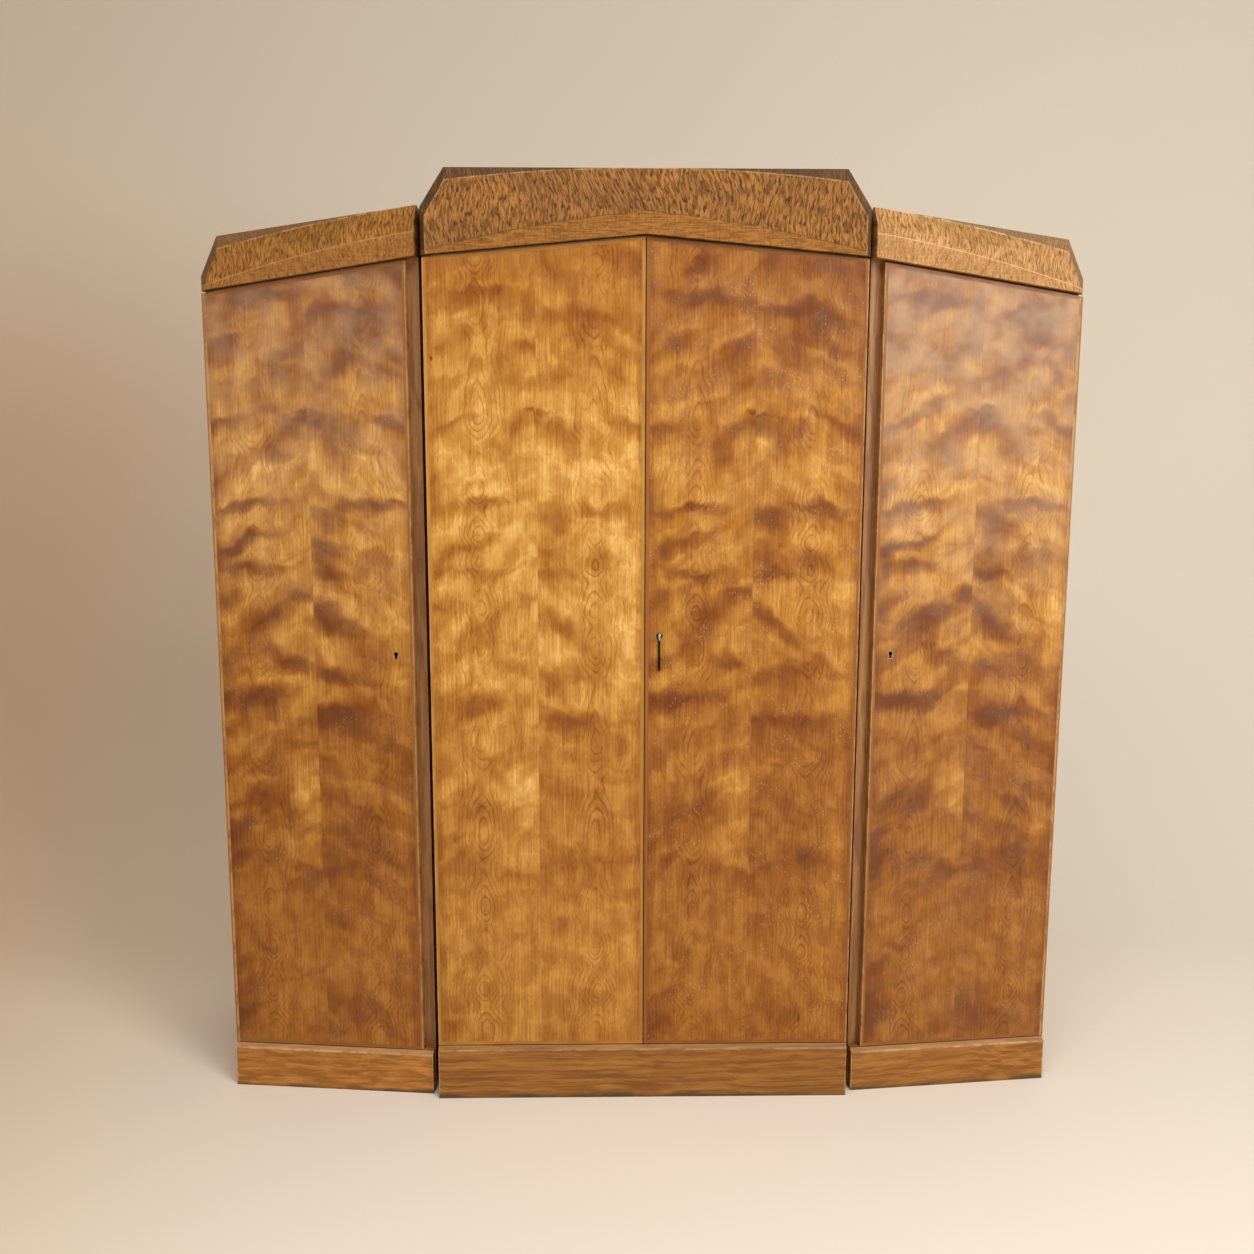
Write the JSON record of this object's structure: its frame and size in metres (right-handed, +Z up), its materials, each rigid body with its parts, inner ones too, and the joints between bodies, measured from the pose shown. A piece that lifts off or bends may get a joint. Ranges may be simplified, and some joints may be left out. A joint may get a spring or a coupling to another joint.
{
  "type": "wardrobe",
  "caption": "Wardrobe with a double-door centre, raked single-door wings, scooped cornices with clipped corners, plinths, hanging rails, shelves and rim locks.",
  "frame": {"origin": "on the floor, at the middle of the box round the whole wardrobe", "axes": "+Z up, -Y out of the front, +X to the right as the front is seen"},
  "size_m": [1.7966, 0.54, 1.95],
  "materials": {
    "veneer": "figured veneer under satin varnish",
    "lipping": "solid wood under satin varnish",
    "cornice": "flecked veneer under satin varnish",
    "plinth": "solid wood under satin varnish, scuffed",
    "carcass": "veneered board under satin varnish",
    "interior": "plain board, thin varnish",
    "back_panel": "bare plywood",
    "hinge_steel": "dull plated steel",
    "lock_steel": "dull plated steel",
    "key_metal": "worn nickel",
    "fob_metal": "dark lacquer",
    "rail_brass": "dull brass"
  },
  "bodies": {
    "carcass": {"centre_plinth": "plinth", "centre_base_board": "carcass", "centre_left_side": "carcass", "centre_right_side": "carcass", "centre_top_board": "carcass", "centre_back_panel": "back_panel", "centre_header_rail": "carcass", "centre_cornice_fascia": "cornice", "centre_cornice_returns": "cornice", "centre_hat_shelf": "interior", "centre_hanging_rail": "rail_brass", "left_plinth": "plinth", "left_base_board": "carcass", "left_inner_side": "carcass", "left_outer_side": "carcass", "left_top_board": "carcass", "left_back_panel": "back_panel", "left_header_rail": "carcass", "left_cornice_fascia": "cornice", "left_cornice_returns": "cornice", "right_plinth": "plinth", "right_base_board": "carcass", "right_inner_side": "carcass", "right_outer_side": "carcass", "right_top_board": "carcass", "right_back_panel": "back_panel", "right_header_rail": "carcass", "right_cornice_fascia": "cornice", "right_cornice_returns": "cornice", "left_hanging_rail": "rail_brass", "right_shelves": "interior", "rail_sockets": "rail_brass", "carcass_hinge_leaves": "hinge_steel", "hinge_pins": "hinge_steel", "keep_plates": "lock_steel", "connecting_bolts": "lock_steel"},
    "right_centre_door": {"right_centre_door_panel": "veneer", "right_centre_door_lipping": "lipping", "right_centre_door_hinge_leaves": "hinge_steel", "centre_lock_case": "lock_steel"},
    "left_centre_door": {"left_centre_door_panel": "veneer", "left_centre_door_lipping": "lipping", "left_centre_door_hinge_leaves": "hinge_steel", "centre_lock_keep": "lock_steel", "door_bolt_casings": "lock_steel"},
    "right_wing_door": {"right_wing_door_panel": "veneer", "right_wing_door_lipping": "lipping", "right_wing_door_hinge_leaves": "hinge_steel", "right_wing_lock_case": "lock_steel"},
    "left_wing_door": {"left_wing_door_panel": "veneer", "left_wing_door_lipping": "lipping", "left_wing_door_hinge_leaves": "hinge_steel", "left_wing_lock_case": "lock_steel"},
    "key": {"key": "key_metal"},
    "key_fob": {"key_fob": "fob_metal"},
    "centre_lock_bolt": {"centre_lock_bolt": "lock_steel"},
    "right_wing_lock_bolt": {"right_wing_lock_bolt": "lock_steel"},
    "left_wing_lock_bolt": {"left_wing_lock_bolt": "lock_steel"},
    "top_door_bolt": {"top_door_bolt": "lock_steel"},
    "bottom_door_bolt": {"bottom_door_bolt": "lock_steel"}
  },
  "joints": [
    {"name": "right_centre_door_hinge", "type": "hinge", "parent": "carcass", "child": "right_centre_door", "pos_m": [0.443, -0.22325, 0.96914], "axis": [0, 0, 1], "range_deg": [0, 100]},
    {"name": "left_centre_door_hinge", "type": "hinge", "parent": "carcass", "child": "left_centre_door", "pos_m": [-0.443, -0.22325, 0.96914], "axis": [0, 0, -1], "range_deg": [0, 100]},
    {"name": "right_wing_door_hinge", "type": "hinge", "parent": "carcass", "child": "right_wing_door", "pos_m": [0.89408, -0.15289, 0.92492], "axis": [0, 0, 1], "range_deg": [0, 100]},
    {"name": "left_wing_door_hinge", "type": "hinge", "parent": "carcass", "child": "left_wing_door", "pos_m": [-0.89408, -0.15289, 0.92492], "axis": [0, 0, -1], "range_deg": [0, 100]},
    {"name": "key_turn", "type": "hinge", "parent": "right_centre_door", "child": "key", "pos_m": [0.03, -0.244, 1.021], "axis": [0, -1, 0], "range_deg": [0, 180]},
    {"name": "key_fob_swing", "type": "hinge", "parent": "right_centre_door", "child": "key_fob", "pos_m": [0.03, -0.2476, 1.021], "axis": [0, -1, 0], "range_deg": [-60, 60]},
    {"name": "centre_lock_bolt_slide", "type": "slide", "parent": "right_centre_door", "child": "centre_lock_bolt", "axis": [-1, 0, 0], "range_m": [0, 0.012]},
    {"name": "right_wing_lock_bolt_slide", "type": "slide", "parent": "right_wing_door", "child": "right_wing_lock_bolt", "axis": [-0.9938, -0.1115, 0], "range_m": [0, 0.012]},
    {"name": "left_wing_lock_bolt_slide", "type": "slide", "parent": "left_wing_door", "child": "left_wing_lock_bolt", "axis": [0.9938, -0.1115, 0], "range_m": [0, 0.012]},
    {"name": "top_door_bolt_slide", "type": "slide", "parent": "left_centre_door", "child": "top_door_bolt", "axis": [0, 0, 1], "range_m": [0, 0.018]},
    {"name": "bottom_door_bolt_slide", "type": "slide", "parent": "left_centre_door", "child": "bottom_door_bolt", "axis": [0, 0, -1], "range_m": [0, 0.018]}
  ],
  "couplings": [
    {"joint": "centre_lock_bolt_slide", "follows": "key_turn", "m_per_rad": 0.0038197}
  ]
}
